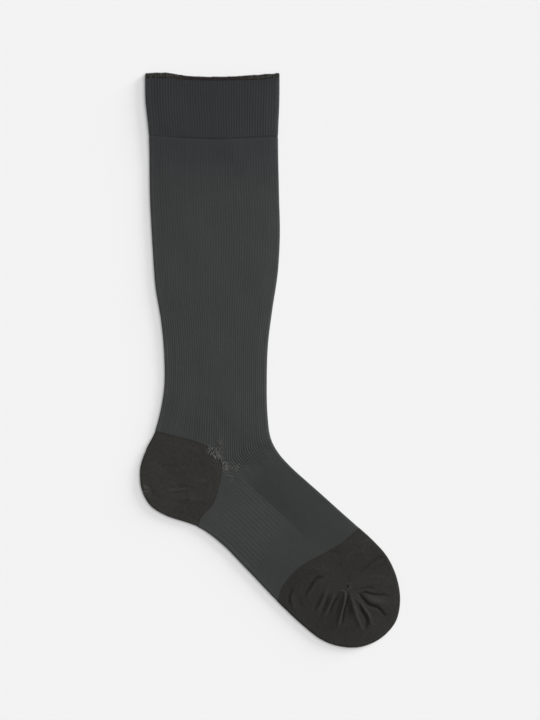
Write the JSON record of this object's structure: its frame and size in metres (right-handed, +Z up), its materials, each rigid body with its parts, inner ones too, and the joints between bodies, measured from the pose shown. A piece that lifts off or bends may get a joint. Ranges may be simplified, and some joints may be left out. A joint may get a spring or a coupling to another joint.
{
  "type": "compression stocking, knee length, closed toe",
  "caption": "Knee-length closed-toe stocking laid flat: ribbed cuff and leg, knitted heel pouch, arch band and gathered toe.",
  "frame": {"origin": "centre of the flat outline, on the surface that the stocking lies on", "axes": "+X towards the shin and the toe, +Y up the leg towards the cuff, +Z up out of the surface"},
  "size_m": [0.2161, 0.4769, 0.0049],
  "materials": {
    "brown_yarn": "plain knit in matt brown-black yarn",
    "cuff_knit": "fine ribbed double knit, matt blue-black",
    "charcoal_knit": "fine ribbed knit, matt charcoal with a slight green cast"
  },
  "bodies": {
    "root": {"top_edge": "brown_yarn", "welt": "cuff_knit", "leg_and_foot": "charcoal_knit", "heel": "brown_yarn", "toe": "brown_yarn"}
  },
  "joints": []
}
